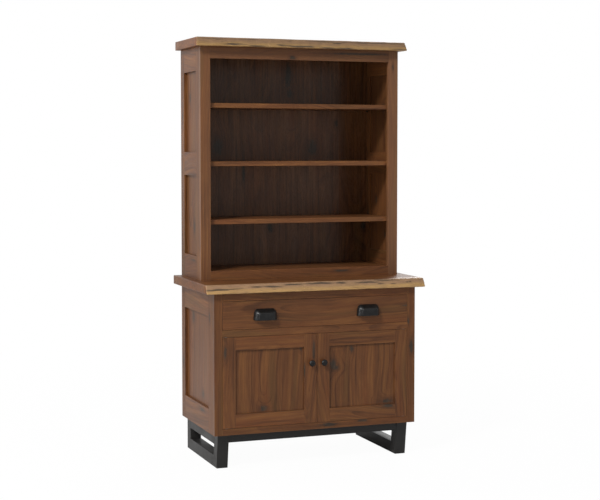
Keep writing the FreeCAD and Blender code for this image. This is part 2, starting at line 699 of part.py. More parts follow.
def build_sled():
    """Two loops of square tube and two crossbars that join them."""
    top_y = front + sled_front_inset
    foot_y = top_y + sled_front_rake
    rear_y = back - sled_back_inset
    outline = [V(0, foot_y, 0), V(0, rear_y, 0), V(0, rear_y, floor_gap), V(0, top_y, floor_gap)]
    inner = [corner_at(outline, i, tube) for i in range(4)]
    skin = [corner_at(outline, i, tube_wall) for i in range(4)]
    core = [corner_at(outline, i, tube - tube_wall) for i in range(4)]
    lean = (foot_y - top_y) / floor_gap
    post_inner_top = V(0, inner[0].y - lean * (floor_gap - inner[0].z), floor_gap)
    rear_inner_top = V(0, rear_y - tube, floor_gap)
    for side, sign in (("left", -1), ("right", 1)):
        outer_x = sign * (half_width - sled_side_inset)
        x = sorted((outer_x, outer_x - sign * tube))
        name = f"{side}_sled_loop"
        rail = [outline[0], outline[1], inner[1], inner[0]]
        add(name, rounded_tube(rail, [skin[0], skin[1], core[1], core[0]], x, tube_wall))
        post = [outline[3], outline[0], inner[0], post_inner_top]
        hollow = [V(0, skin[0].y - lean * (floor_gap - skin[0].z), floor_gap), skin[0], core[0],
                  V(0, core[0].y - lean * (floor_gap - core[0].z), floor_gap)]
        add(name, rounded_tube(post, hollow, x, tube_wall))
        post = [outline[1], outline[2], rear_inner_top, inner[1]]
        hollow = [skin[1], V(0, skin[1].y, floor_gap), V(0, core[1].y, floor_gap), core[1]]
        add(name, rounded_tube(post, hollow, x, tube_wall))
        rail_low = floor_gap - tube
        low_front = V(0, inner[0].y - lean * (rail_low - inner[0].z), rail_low)
        rail = [low_front, V(0, rear_y - tube, rail_low), rear_inner_top, post_inner_top]
        hollow = [V(0, p.y, rail_low + tube_wall) for p in rail[:2]]
        hollow += [V(0, p.y, floor_gap - tube_wall) for p in rail[2:]]
        hollow[0].y -= lean * tube_wall
        hollow[3].y += lean * tube_wall
        add(name, rounded_tube(rail, hollow, x, tube_wall))

    reach = half_width - sled_side_inset - tube
    z = (floor_gap - crossbar, floor_gap)
    for y0 in (top_y + crossbar_setback, rear_y - crossbar_setback - crossbar):
        quad = [V(0, y0, z[0]), V(0, y0 + crossbar, z[0]), V(0, y0 + crossbar, z[1]), V(0, y0, z[1])]
        bar = prism([V(-reach, p.y, p.z) for p in quad], V(2 * reach, 0, 0))
        bar = bar.makeFillet(tube_corner, [e for e in bar.Edges if e.Length > reach])
        hole = box((-reach - overrun, reach + overrun), (y0 + tube_wall, y0 + crossbar - tube_wall),
                   (z[0] + tube_wall, z[1] - tube_wall))
        add("sled_crossbars", bar.cut(hole))


build_sides()
build_face_frames()
build_slabs()
build_floors_and_backs()
build_shelves()
build_drawer()
build_doors()
build_sled()

for name, solids in parts.items():
    for solid in solids:
        if not solid.isValid() or len(solid.Solids) != 1:
            print(name, "is not one sound solid:", len(solid.Solids))
    whole = [solid.Solids[0] for solid in solids]
    shape = whole[0] if len(whole) == 1 else Part.makeCompound(whole)
    shape.exportStep(f"parts/{name}.step")
print(len(parts), "pieces,", sum(len(s) for s in parts.values()), "solids")
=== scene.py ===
"""A knotty walnut credenza on a black steel sled, with an open hutch standing on it.

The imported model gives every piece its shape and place, in metres. This script gives the pieces
their finishes, and cuts the two live-edge tops, the pulls and the knobs again as finer meshes.
It goes through the piece in the order in which it is put together: sled, cupboard, drawer, doors,
lower top, hutch, upper top, and last the room, the lamps and the camera.
"""
import math

import bpy
import numpy as np
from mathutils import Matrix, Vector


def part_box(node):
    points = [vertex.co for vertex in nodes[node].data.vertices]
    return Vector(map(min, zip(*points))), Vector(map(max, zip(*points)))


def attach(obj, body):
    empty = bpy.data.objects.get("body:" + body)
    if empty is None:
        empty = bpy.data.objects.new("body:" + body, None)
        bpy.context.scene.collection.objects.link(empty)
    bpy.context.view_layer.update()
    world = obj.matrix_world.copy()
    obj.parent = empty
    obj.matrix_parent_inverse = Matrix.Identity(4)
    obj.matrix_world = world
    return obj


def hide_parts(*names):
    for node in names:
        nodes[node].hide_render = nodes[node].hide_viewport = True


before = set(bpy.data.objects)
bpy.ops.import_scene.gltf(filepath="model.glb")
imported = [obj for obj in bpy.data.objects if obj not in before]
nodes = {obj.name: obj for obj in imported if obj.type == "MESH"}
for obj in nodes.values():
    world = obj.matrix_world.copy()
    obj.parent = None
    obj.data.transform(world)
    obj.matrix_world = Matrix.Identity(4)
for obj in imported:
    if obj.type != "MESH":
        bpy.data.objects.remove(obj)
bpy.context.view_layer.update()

# Sled
# Two loops of 50 mm square steel tube, mitred and welded, joined by a lighter bar at the front and
# the back. All of it is sprayed with a fine-textured black powder coat.


class Reading:
    """One output of a shader node. Arithmetic with readings or numbers adds Math nodes."""

    def __init__(self, finish, socket):
        self.finish = finish
        self.socket = socket

    def maths(self, operation, *values):
        return self.finish.node("ShaderNodeMath", {"operation": operation}, dict(enumerate(values)))

    def __add__(self, other):
        return self.maths("ADD", self, other)

    def __sub__(self, other):
        return self.maths("SUBTRACT", self, other)

    def __rsub__(self, other):
        return self.maths("SUBTRACT", other, self)

    def __mul__(self, other):
        return self.maths("MULTIPLY", self, other)

    def __truediv__(self, other):
        return self.maths("DIVIDE", self, other)

    def __gt__(self, other):
        return self.maths("GREATER_THAN", self, other)

    __radd__ = __add__
    __rmul__ = __mul__

    def root(self):
        return self.maths("SQRT", self)

    def fraction(self):
        return self.maths("FRACT", self)

    def most(self, other):
        return self.maths("MAXIMUM", self, other)

    def least(self, other):
        return self.maths("MINIMUM", self, other)

    def fading(self):
        """e to the minus of the value: 1 at nought, fading outwards."""
        return self.maths("EXPONENT", self * -1.0)

    def spread(self, low, high, to_low=0.0, to_high=1.0):
        """The value's place between low and high, smoothly, put between two other numbers."""
        return self.finish.node("ShaderNodeMapRange", {"interpolation_type": "SMOOTHSTEP"},
                                {"Value": self, "From Min": low, "From Max": high,
                                 "To Min": to_low, "To Max": to_high})


class Finish:
    """A material in the making: node() adds any shader node and gives back one of its outputs."""

    def __init__(self, name):
        self.material = bpy.data.materials.new(name)
        self.material.use_nodes = True
        self.tree = self.material.node_tree
        self.shader = self.tree.nodes["Principled BSDF"]
        self.place = self.node("ShaderNodeTexCoord", {}, {}, "Object")
        self.axes = [self.node("ShaderNodeSeparateXYZ", {}, {"Vector": self.place}, axis)
                     for axis in "XYZ"]

    def node(self, kind, settings, inputs, output=0):
        made = self.tree.nodes.new(kind)
        for key, value in settings.items():
            if key == "stops":
                self.set_stops(made.color_ramp, value)
            else:
                setattr(made, key, value)
        self.plug(made, inputs)
        return Reading(self, made.outputs[output])

    def set_stops(self, ramp, stops):
        while len(ramp.elements) < len(stops):
            ramp.elements.new(1.0)
        for element, (place, colour) in zip(ramp.elements, stops):
            element.position = place
            element.color = (*colour, 1.0)

    def plug(self, made, inputs):
        for key, value in inputs.items():
            if isinstance(value, Reading):
                self.tree.links.new(value.socket, made.inputs[key])
            elif isinstance(value, tuple) and made.inputs[key].type == "RGBA":
                made.inputs[key].default_value = (*value, 1.0)
            else:
                made.inputs[key].default_value = value

    def joined(self, x, y, z):
        return self.node("ShaderNodeCombineXYZ", {}, {"X": x, "Y": y, "Z": z})

    def noise(self, vector, scale=1.0, detail=2.0, roughness=0.5):
        return self.node("ShaderNodeTexNoise", {},
                         {"Vector": vector, "Scale": scale, "Detail": detail, "Roughness": roughness})

    def ramp(self, factor, *stops):
        return self.node("ShaderNodeValToRGB", {"stops": stops}, {"Fac": factor})

    def blend(self, factor, first, second):
        return self.node("ShaderNodeMix", {"data_type": "RGBA"}, {0: factor, 6: first, 7: second}, 2)

    def shade(self, factor, colour):
        """The colour made lighter or darker by a factor of about 1."""
        grey = self.joined(factor, factor, factor)
        return self.node("ShaderNodeVectorMath", {"operation": "MULTIPLY"}, {0: colour, 1: grey})

    def relief(self, height, depth, strength=1.0):
        """A Bump node's normal, from a height between 0 and 1 and a depth in metres."""
        return self.node("ShaderNodeBump", {},
                         {"Height": height, "Distance": depth, "Strength": strength}, "Normal")

    def put(self, **sockets):
        self.plug(self.shader, {key.replace("_", " "): value for key, value in sockets.items()})
        return self


def srgb(red, green, blue):
    """A colour as a screen shows it, 0 to 255, turned into the linear light that shaders use."""
    shares = [value / 255 for value in (red, green, blue)]
    return tuple(s / 12.92 if s <= 0.04045 else ((s + 0.055) / 1.055) ** 2.4 for s in shares)


def dress(node, finish):
    """Gives a CAD node's object the finish."""
    for slot in nodes[node].material_slots:
        slot.material = finish.material


def powder_coat():
    """Black powder coat: a fine orange-peel relief and a slightly uneven gloss."""
    finish = Finish("black powder coat")
    peel = finish.noise(finish.place, scale=900.0)
    cloud = finish.noise(finish.place, scale=9.0, detail=3.0)
    return finish.put(Base_Color=finish.ramp(cloud, (0.3, srgb(23, 22, 21)), (0.7, srgb(31, 29, 28))),
                      Specular_IOR_Level=0.3, Roughness=cloud.spread(0.3, 0.7, 0.42, 0.52),
                      Normal=finish.relief(peel, 0.00015, 0.5))


steel = powder_coat()
for node in ("left_sled_loop", "right_sled_loop", "sled_crossbars"):
    dress(node, steel)

# Side frames and face frame of the cupboard
# Frames of solid walnut in a warm brown stain, with flat panels in grooves. Stiles run up and rails
# run across. The left side's knots lie where the photograph shows them.

AXIS = {"x": 0, "y": 1, "z": 2}
DARK, MIDDLE, LIGHT = srgb(66, 40, 24), srgb(95, 59, 34), srgb(121, 79, 43)
RUST, OLIVE = srgb(103, 58, 31), srgb(92, 66, 37)
KNOT, KNOT_PALE, KNOT_RIM = srgb(36, 33, 28), srgb(70, 58, 47), srgb(68, 44, 29)
# The colour of the shade painted into the corners round panels.
PAINTED_CORNER_SHADE = srgb(38, 24, 15)
MIDDLE_LEVEL = 0.55
GROUP_PART, STREAK_PART, CLOUD_PART, FIBRE_PART, LINE_PART = 0.66, 1.1, 0.5, 0.42, 0.26


def knotted(finish, run, wide, deep, knots):
    """How far knots swell the rings round them, and how much of their cores and dark rims shows.

    A point's distance from a knot is counted in the knot's own half sizes. The swelling fades with
    the square of that distance. Core and rim end at distances that noise breaks up.
    """
    ragged = finish.noise(finish.joined(run * 60.0, wide * 130.0, deep * 90.0), detail=4.0, roughness=0.7)
    swell, core, rim = 0.0, 0.0, 0.0
    for along, across, tall, broad in knots:
        off_run, off_wide = (run - along) / tall, (wide - across) / broad
        off = (off_run * off_run + off_wide * off_wide).root()
        swell = (off * off * 0.10).fading() * (broad * 1.6) + swell
        off = off + (ragged - 0.5) * 2.2
        core = 1.0 - off.spread(0.5, 1.25) + core
        rim = 1.0 - off.spread(0.6, 2.8) + rim
    return swell, core, rim


def log(finish, run, side, deep, own, shift, heart):
    """Where a point lies in its log: how far to the side of the log's heart, and how far from it.

    The heart lies about heart under the face, to one side by the board's own number, and wanders
    both ways along the log. The rings weave a little round it.
    """
    wander = finish.noise(finish.joined(run * 1.6, shift, 0.0), detail=1.0)
    drift = finish.noise(finish.joined(shift, run * 1.3, 7.0), detail=1.0)
    weave = finish.noise(finish.joined(run * 5.0, side * 16.0 + shift, deep * 16.0))
    side = side + (own - 0.5) * 0.05 + (wander - 0.5) * 0.12
    into = deep * 0.4 + heart + (drift - 0.5) * 0.16
    return side, (side * side + into * into).root() + (weave - 0.5) * 0.007


def walnut(name, along, across, seed, boards=(), first=0.0, step=0.0, knots=(), tone=1.0, heart=0.06,
           ring=0.011, rough=0.34, shine=0.2, over=None):
    """Walnut sawn from a log, as a solid pattern, so that faces, edges and ends agree.

    The distance from the log's wandering heart gives the growth rings, which a flat-sawn face cuts
    in long arches. Whole groups of rings are darker or lighter, each ring ends in a dark line, and
    noise drawn out along the grain gives streaks, clouds, fibres and open pores. Groups, lines,
    streaks, clouds and fibres each move the wood by a part of their own from its middle level, on
    the ramp from dark to light. A knot swells the rings round it and ends in a ragged dark core:
    (along, across, half height along the grain, half width), in metres.

    boards lists where one board ends and the next begins, as (axis, place), and each board draws
    its own numbers. The first board's heart line is at first, and the next ones follow a step
    apart. ring is the width of a growth ring, and heart how deep the log's heart lies. tone is how
    light the wood is, rough its least roughness and shine its specular level. over is a function
    that lays more colour over the wood.
    """
    finish = Finish(name)
    run, wide = finish.axes[AXIS[along]], finish.axes[AXIS[across]]
    deep = finish.axes[3 - AXIS[along] - AXIS[across]]
    number = 0.0
    for axis, place in boards:
        number = (finish.axes[AXIS[axis]] > place) + number
    own = finish.node("ShaderNodeTexWhiteNoise", {"noise_dimensions": "1D"}, {"W": number + seed})
    shift = own * 37.0
    side, radius = log(finish, run, wide - (number * step + first), deep, own, shift, heart)
    if knots:
        swell, core, rim = knotted(finish, run, wide, deep, knots)
        radius = radius + swell

    def drawn(lengthwise, crosswise, detail, roughness=0.5):
        """Noise drawn out along the grain: so many waves to a metre along it and across it."""
        place = finish.joined(run * lengthwise, side * crosswise + shift, deep * crosswise)
        return finish.noise(place, detail=detail, roughness=roughness)

    group = finish.noise(finish.joined(radius * (0.5 / ring), shift, run * 0.5), detail=3.0, roughness=0.6)
    uneven = finish.noise(finish.joined(radius * 60.0, shift, 1.0), detail=1.0)
    year = (radius / ring + uneven * 2.2).fraction()
    line = year.spread(0.45, 0.92) - year.spread(0.94, 1.0)
    line = line * drawn(1.6, 9.0, 1.0).spread(0.42, 0.62)
    streak = drawn(1.9, 88.0, 4.0, 0.7)
    cloud = drawn(6.0, 26.0, 3.0, 0.6)
    pore = drawn(75.0, 1300.0, 1.0)
    hue = finish.noise(finish.joined(run * 1.9, side * 20.0, shift + 5.0))
    fibre = finish.noise(finish.joined(run * 14.0, radius * 620.0 + shift, side * 260.0), roughness=0.7)

    level = (group - 0.5) * GROUP_PART + (streak - 0.5) * STREAK_PART + (cloud - 0.5) * CLOUD_PART
    level = level + MIDDLE_LEVEL - line * LINE_PART + (fibre - 0.5) * FIBRE_PART
    colour = finish.ramp(level, (0.1, DARK), (0.5, MIDDLE), (0.9, LIGHT))
    colour = finish.blend(hue.spread(0.52, 0.74, 0.0, 0.40), colour, RUST)
    colour = finish.blend(hue.spread(0.28, 0.46, 0.45, 0.0), colour, OLIVE)
    if over:
        colour = over(finish, colour)
    if knots:
        colour = finish.blend(rim.spread(0.0, 1.0, 0.0, 0.5), colour, KNOT_RIM)
        knot = finish.ramp((streak + fibre) * 0.5, (0.40, KNOT), (0.60, KNOT_PALE))
        colour = finish.blend(core.spread(0.0, 1.0, 0.0, 0.9), colour, knot)
    holes = pore.spread(0.34, 0.27) * 0.6
    colour = finish.shade((own - 0.5) * 0.14 + tone - holes * 0.22, colour)
    return finish.put(Base_Color=colour, Specular_IOR_Level=shine,
                      Roughness=fibre.spread(0.3, 0.7, rough, rough + 0.08),
                      Normal=finish.relief(fibre * 0.6 - holes, 0.0003, 0.3))


def painted_corner_shade(along, along_span, across, across_span):
    """Paints shade into the corners round a panel of the given spans, as its frame's shadow.

    The painted shade is darkest along the panel's top and its near side, where the frame's shadow
    falls, and faint along its foot and far side.
    """
    def over(finish, colour):
        u, v = finish.axes[AXIS[along]], finish.axes[AXIS[across]]
        uneven = (finish.noise(finish.joined(u * 30.0, v * 30.0, 1.0), detail=3.0) - 0.5) * 0.002
        to_shaded_edges = (along_span[1] - u).least(v - across_span[0]) + uneven
        to_faint_edges = (u - along_span[0]).least(across_span[1] - v) + uneven
        # Painted shade: strong near the top and near side, faint near the foot and far side.
        dark = to_shaded_edges.spread(0.0014, 0.0038, 0.74, 0.0).most(to_faint_edges.spread(0.0008, 0.0030, 0.16, 0.0))
        return finish.blend(dark, colour, PAINTED_CORNER_SHADE)
    return over


def span(node, axis):
    """A node's lowest and highest places along an axis."""
    low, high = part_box(node)
    return low[AXIS[axis]], high[AXIS[axis]]


def middle_of(node, axis):
    """The middle of a node along an axis."""
    return sum(span(node, axis)) / 2


def points_of(mesh):
    """A mesh's points, one (x, y, z) to a row."""
    places = np.empty(len(mesh.vertices) * 3)
    mesh.vertices.foreach_get("co", places)
    return places.reshape(-1, 3)


def inner_faces(node, axis):
    """The faces that a node's two outermost like pieces turn to each other, along an axis."""
    places = points_of(nodes[node].data)[:, AXIS[axis]]
    middle = (places.min() + places.max()) / 2
    return float(places[places < middle].max()), float(places[places > middle].min())


def opening_of(frame_name, axis):
    """The opening inside a frame of stiles and rails: its span up, and its span along an axis."""
    return "z", inner_faces(f"{frame_name}_rails", "z"), axis, inner_faces(f"{frame_name}_stiles", axis)


def boards_of(node, axis, count):
    """Borders between a node's like boards along an axis, their first centre and their spacing."""
    low, high = span(node, axis)
    width = (high - low) / count
    borders = [(axis, low + width * i) for i in range(1, count)]
    return {"boards": borders, "first": low + width / 2, "step": width}


def pair_of(node, axis):
    """The same for two like pieces that stand apart, such as the stiles of a door."""
    low, high = span(node, axis)
    width = inner_faces(node, axis)[0] - low
    return {"boards": [(axis, (low + high) / 2)], "first": low + width / 2, "step": high - low - width}


side_knots = {
    "base_left_stiles": ((0.645, -0.171, 0.026, 0.009), (0.400, 0.240, 0.024, 0.008)),
    "base_left_rails": ((-0.056, 0.230, 0.040, 0.008),),
    "base_left_panel": ((0.615, 0.114, 0.026, 0.018), (0.295, -0.031, 0.020, 0.014)),
    "base_right_stiles": ((0.320, -0.190, 0.018, 0.006),),
    "base_right_rails": ((0.090, 0.690, 0.024, 0.007),),
    "base_right_panel": ((0.520, -0.060, 0.020, 0.012), (0.330, 0.120, 0.014, 0.007)),
}
for side, seed in (("left", 11.0), ("right", 31.0)):
    node = f"base_{side}_stiles"
    dress(node, walnut(f"cupboard {side} stiles", "z", "y", seed, knots=side_knots[node],
                       tone=0.9, shine=0.13, **boards_of(node, "y", 2)))
    node = f"base_{side}_rails"
    dress(node, walnut(f"cupboard {side} rails", "y", "z", seed + 3, knots=side_knots[node],
                       shine=0.15, **boards_of(node, "z", 2)))
    # Each side panel gets painted shade in its corners.
    node = f"base_{side}_panel"
    dress(node, walnut(f"cupboard {side} panel", "z", "y", seed + 6, knots=side_knots[node],
                       first=middle_of(node, "y"), ring=0.013, tone=0.99, shine=0.17,
                       over=painted_corner_shade(*opening_of(f"base_{side}", "y"))))

dress("base_face_stiles", walnut("cupboard face stiles", "z", "x", 51.0, tone=0.94,
                                 knots=((0.485, 0.444, 0.028, 0.009), (0.600, 0.430, 0.016, 0.004)),
                                 **boards_of("base_face_stiles", "x", 2)))
bottom_rail_knots = ((0.054, 0.163, 0.032, 0.008), (0.214, 0.171, 0.026, 0.006))
for node, seed, tone, knots in (("base_face_top_rail", 53.0, 1.0, ()),
                                ("base_drawer_rail", 54.0, 1.0, ()),
                                ("base_face_bottom_rail", 55.0, 0.88, bottom_rail_knots)):
    dress(node, walnut(node.replace("base", "cupboard").replace("_", " "), "x", "z", seed, knots=knots,
                       first=middle_of(node, "z"), tone=tone))

# Cupboard inside
# A floor let into the side frames, a back in their rebates and one shelf on four steel pins. Battens
# under the floor take the sled's screws.

for node, seed in (("base_floor", 57.0), ("base_inner_shelf", 58.0)):
    dress(node, walnut(node.replace("_", " "), "x", "y", seed, knots=((0.14, 0.05, 0.022, 0.010),)))
dress("base_back_panel", walnut("cupboard back", "z", "x", 61.0,
                                knots=((0.34, 0.17, 0.024, 0.012), (0.58, -0.24, 0.018, 0.010)),
                                **boards_of("base_back_panel", "x", 4)))


def plain_wood(name, along, seed):
    """Pale clear-finished hardwood for what stays out of sight: long soft streaks and fine fibres."""
    finish = Finish(name)
    run = finish.axes[AXIS[along]]
    one, other = (axis for key, axis in zip("xyz", finish.axes) if key != along)
    streak = finish.noise(finish.joined(run * 1.5, one * 40.0 + seed, other * 40.0), detail=3.0)
    fibre = finish.noise(finish.joined(run * 12.0, one * 700.0, other * 700.0 + seed), detail=1.0)
    colour = finish.ramp(streak * 0.7 + fibre * 0.3, (0.3, srgb(148, 114, 78)), (0.7, srgb(184, 152, 110)))
    return finish.put(Base_Color=colour, Roughness=0.55, Specular_IOR_Level=0.3,
                      Normal=finish.relief(fibre, 0.0002, 0.3))


def zinc(name, dark, light):
    """Zinc plate gone dull: grey with faint clouds, between two greys from 0 to 255."""
    finish = Finish(name)
    cloud = finish.noise(finish.place, scale=120.0, detail=3.0)
    stops = ((0.3, srgb(dark, dark + 2, dark + 4)), (0.7, srgb(light, light + 2, light + 2)))
    return finish.put(Base_Color=finish.ramp(cloud, *stops),
                      Metallic=1.0, Roughness=cloud.spread(0.3, 0.7, 0.36, 0.5))


dress("sled_battens", plain_wood("sled battens", "y", 3.0))
aged = zinc("aged zinc", 58, 84)
plated = zinc("zinc plate", 120, 158)
dress("base_shelf_pins", aged)

# Drawer
# A plain hardwood box behind a single walnut board. It runs on a pair of side-mounted slides with
# packers behind them.

dress("drawer_front", walnut("drawer front", "x", "z", 71.0, first=0.665, heart=0.05, ring=0.014,
                             knots=((0.416, 0.668, 0.018, 0.004),)))
plain_pieces = (("drawer_sides", "y"), ("drawer_box_front", "x"), ("drawer_back", "x"),
                ("drawer_bottom", "x"), ("slide_packers", "y"))
for seed, (node, along) in enumerate(plain_pieces):
    dress(node, plain_wood(node.replace("_", " "), along, 5.0 + seed))
for node in ("slide_cabinet_members", "slide_drawer_members", "pull_screws"):
    dress(node, plated)

# Cup pulls
# Cast iron cups, open below and behind, blackened and lacquered. Each has two bosses inside, which
# take the screws that come through the drawer front.


def black_iron(name, dark, light, shine, rough):
    """Blackened iron under lacquer, with a slight cast grain, between two greys from 0 to 255."""
    finish = Finish(name)
    cloud = finish.noise(finish.place, scale=70.0, detail=3.0)
    grit = finish.noise(finish.place, scale=500.0)
    stops = ((0.35, srgb(dark, dark, dark)), (0.7, srgb(light, light, light)))
    return finish.put(Base_Color=finish.ramp(cloud, *stops), Specular_IOR_Level=shine,
                      Roughness=cloud.spread(0.3, 0.7, rough, rough + 0.08),
                      Normal=finish.relief(grit, 0.0001, 0.06))


def skin(name, grid, ends=(), closed=False):
    """A mesh over a grid of points: rows of points, (rows, columns, 3), joined to their neighbours.

    Where closed is true, each row's last point joins its first. ends holds a point to close the
    first row with, or one for each of the first and last rows, by fans of triangles.
    """
    rows, columns = grid.shape[:2]
    index = np.arange(rows * columns).reshape(rows, columns)
    if closed:
        index = np.concatenate([index, index[:, :1]], axis=1)
    quads = np.stack([index[:-1, :-1], index[:-1, 1:], index[1:, 1:], index[1:, :-1]], axis=-1)
    faces = quads.reshape(-1, 4).tolist()
    points = grid.reshape(-1, 3)
    for which, end in enumerate(ends):
        row = index[-1 if which else 0]
        tip = np.full(len(row) - 1, len(points))
        fan = np.stack([tip, row[1:], row[:-1]] if not which else [tip, row[:-1], row[1:]], axis=-1)
        faces += fan.tolist()
        points = np.concatenate([points, [end]])
    mesh = bpy.data.meshes.new(name)
    mesh.from_pydata(points.tolist(), [], faces)
    mesh.shade_smooth()
    mesh.set_sharp_from_angle(angle=math.radians(34))
    made = bpy.data.objects.new(name, mesh)
    bpy.context.scene.collection.objects.link(made)
    return made


def kept(piece, finish, body, slot, *replaced):
    """Finishes a piece, hangs it on the body it rides on and hides the parts that it stands for. slot is not
    used.
    """
    piece.data.materials.append(finish.material)
    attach(piece, body)
    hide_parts(*replaced)


def arch(half_width, height, corner, lean):
    """Up one side, round a quarter circle, across the top and down the other side.

    Each side leans in by lean as it rises. The points are given as sideways and up, and every arch
    has as many of them, at like places.
    """
    climb = np.linspace(0.0, 1.0, 9)[:-1]
    turn = np.linspace(0.0, math.pi / 2, 13)
    level = np.linspace(1.0, 0.0, 9)[1:]
    crest = half_width - lean
    side = np.concatenate([half_width - lean * climb * (height - corner) / height,
                           crest - corner * (1 - np.cos(turn)), (crest - corner) * level])
    up = np.concatenate([climb * (height - corner), height - corner * (1 - np.sin(turn)),
                         height + 0 * level])
    return np.concatenate([side, -side[-2::-1]]), np.concatenate([up, up[-2::-1]])


def cup(name, node):
    """A cup pull, as arches that shrink from the drawer front to the cup's face.

    The top slopes evenly, with a slight crown, and the flanks curve in towards the face, by a power
    of the way out. The arches then round over at the face's edge, by a quarter circle, and shrink
    to nothing across the face. The wall is thickened inwards.
    """
    low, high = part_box(node)
    middle, foot, back = (low.x + high.x) / 2, low.z, high.y
    depth, half, tall = high.y - low.y, (high.x - low.x) / 2, high.z - low.z
    face_half, face_tall, round_edge, crown, wall = half * 0.72, tall * 0.69, 0.0045, 0.0008, 0.0026
    corner, face_corner, lean, face_lean = 0.015, 0.009, 0.0035, 0.0010

    def ring(side, up, forward):
        return np.stack([middle + side, np.full_like(side, back - forward), foot + up], axis=-1)

    rows = []
    for share in np.linspace(0.0, 1.0, 17):
        side, up = arch(half + (face_half - half) * share ** 2.2,
                        tall + (face_tall - tall) * share + crown * math.sin(math.pi * share),
                        corner + (face_corner - corner) * share, lean + (face_lean - lean) * share)
        rows.append(ring(side, up, (depth - round_edge) * share))
    for angle in np.linspace(0.0, math.pi / 2, 7)[1:]:
        inset = round_edge * (1 - math.cos(angle))
        side, up = arch(face_half - inset, face_tall - inset, face_corner - inset, face_lean)
        rows.append(ring(side, up, depth - round_edge + round_edge * math.sin(angle)))
    for share in (0.8, 0.5, 0.2):
        rows.append(ring(side * share, up * share, depth))
    piece = skin(name, np.array(rows[::-1]), ends=[(middle, back - depth, foot)])
    shell = piece.modifiers.new("wall", "SOLIDIFY")
    shell.thickness = wall
    shell.offset = -1.0
    shell.use_even_offset = True
    return piece


cast_iron = black_iron("blackened iron", 13, 23, shine=0.26, rough=0.28)
for side in ("left", "right"):
    kept(cup(f"cup_{side}", f"cup_pull_{side}"), cast_iron, "drawer", "black_hardware", f"cup_pull_{side}")

# Doors
# Two frame-and-panel doors on knife hinges, which are let into their ends and into the rails above
# and below. Steel strikes on their backs meet a magnetic catch.

door_knots = {
    "left_door_stiles": ((0.495, -0.016, 0.046, 0.005), (0.410, -0.058, 0.026, 0.004),
                         (0.500, -0.412, 0.024, 0.006)),
    "left_door_rails": (),
    "left_door_panel": ((0.252, -0.241, 0.012, 0.015), (0.502, -0.072, 0.014, 0.004)),
    "right_door_stiles": (),
    "right_door_rails": ((0.336, 0.228, 0.024, 0.008),),
    "right_door_panel": ((0.424, 0.077, 0.021, 0.014), (0.409, 0.091, 0.010, 0.012),
                         (0.487, 0.164, 0.014, 0.007), (0.250, 0.330, 0.008, 0.022)),
}
for side, seed, tone in (("left", 81.0, 0.93), ("right", 91.0, 0.97)):
    node = f"{side}_door_stiles"
    dress(node, walnut(f"{side} door stiles", "z", "x", seed, knots=door_knots[node],
                       **pair_of(node, "x")))
    node = f"{side}_door_rails"
    dress(node, walnut(f"{side} door rails", "x", "z", seed + 3, knots=door_knots[node],
                       **pair_of(node, "z")))
    # Each door panel gets painted shade in its corners.
    node = f"{side}_door_panel"
    dress(node, walnut(f"{side} door panel", "z", "x", seed + 6, knots=door_knots[node],
                       ring=0.016, heart=0.05, tone=tone, over=painted_corner_shade(*opening_of(f"{side}_door", "x")),
                       **boards_of(node, "x", 3)))
    dress(f"{side}_door_hinge_leaves", plated)
    dress(f"{side}_door_strike", plated)
for node in ("hinge_frame_leaves", "hinge_washers"):
    dress(node, plated)

catch = Finish("catch plastic")
catch_grain = catch.noise(catch.place, scale=700.0)
catch.put(Base_Color=catch.ramp(catch_grain, (0.3, srgb(62, 44, 33)), (0.7, srgb(72, 52, 39))),
          Roughness=0.5, Normal=catch.relief(catch_grain, 0.0001, 0.3))
dress("door_catch", catch)

# Knobs
# Turned iron knobs with a foot, a waist and a domed head. A stud at the back of each screws into the
# door's inner stile.


def swoop(start, near_start, near_end, end, count):
    """A cubic curve from start to end, drawn towards the two points between them."""
    t = np.linspace(0.0, 1.0, count)[:, None]
    start, near_start, near_end, end = (np.array(point) for point in (start, near_start, near_end, end))
    return ((1 - t) ** 3 * start + 3 * (1 - t) ** 2 * t * near_start
            + 3 * (1 - t) * t ** 2 * near_end + t ** 3 * end)


def turned(name, node, profile):
    """A profile of (radius, place), in shares of the knob's radius and length, turned round its axis."""
    low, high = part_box(node)
    radius, length = (high.x - low.x) / 2, high.y - low.y
    x, z = (low.x + high.x) / 2, (low.z + high.z) / 2
    turn = np.linspace(0.0, 2 * math.pi, 48, endpoint=False)
    reach, place = profile[:, :1] * radius, low.y + profile[:, 1:] * length
    grid = np.stack([x + reach * np.cos(turn), place + 0 * turn, z + reach * np.sin(turn)], axis=-1)
    return skin(name, grid, ends=[(x, low.y, z), (x, high.y, z)], closed=True)


knob_front, knob_back = (corner.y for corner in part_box("left_door_knob"))
door_face_share = (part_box("left_door_stiles")[0].y - knob_front) / (knob_back - knob_front)
stud_share = 0.157
dome = swoop((0.06, 0.0), (0.35, 0.0), (0.62, 0.035), (0.8, 0.085), 12)
shoulder = swoop((0.8, 0.085), (0.92, 0.125), (1.0, 0.16), (1.0, 0.2), 8)
under_rim = swoop((1.0, 0.2), (1.0, 0.25), (0.95, 0.275), (0.82, 0.285), 8)
waist = swoop((0.82, 0.285), (0.45, 0.31), (0.3, 0.5), (0.5, 0.57), 14)
foot = np.array([(0.535, 0.585), (0.54, door_face_share), (stud_share, door_face_share), (stud_share, 1.0)])
knob_profile = np.concatenate([dome, shoulder[1:], under_rim[1:], waist[1:], foot])
turned_iron = black_iron("turned iron", 8, 14, shine=0.24, rough=0.22)
for side in ("left", "right"):
    kept(turned(f"knob_{side}", f"{side}_door_knob", knob_profile), turned_iron,
         f"{side}_door", "black_hardware", f"{side}_door_knob")

# Lower top
# A 38 mm board with its front left as the tree grew: the bark is off, and the pale sapwood leans and
# ripples along it, with brown streaks where bark was grown in. The ends are sawn and eased.

SAP, SAP_GOLD, SAP_PINK = srgb(148, 118, 86), srgb(165, 131, 86), srgb(139, 109, 86)
BARK = srgb(66, 57, 49)


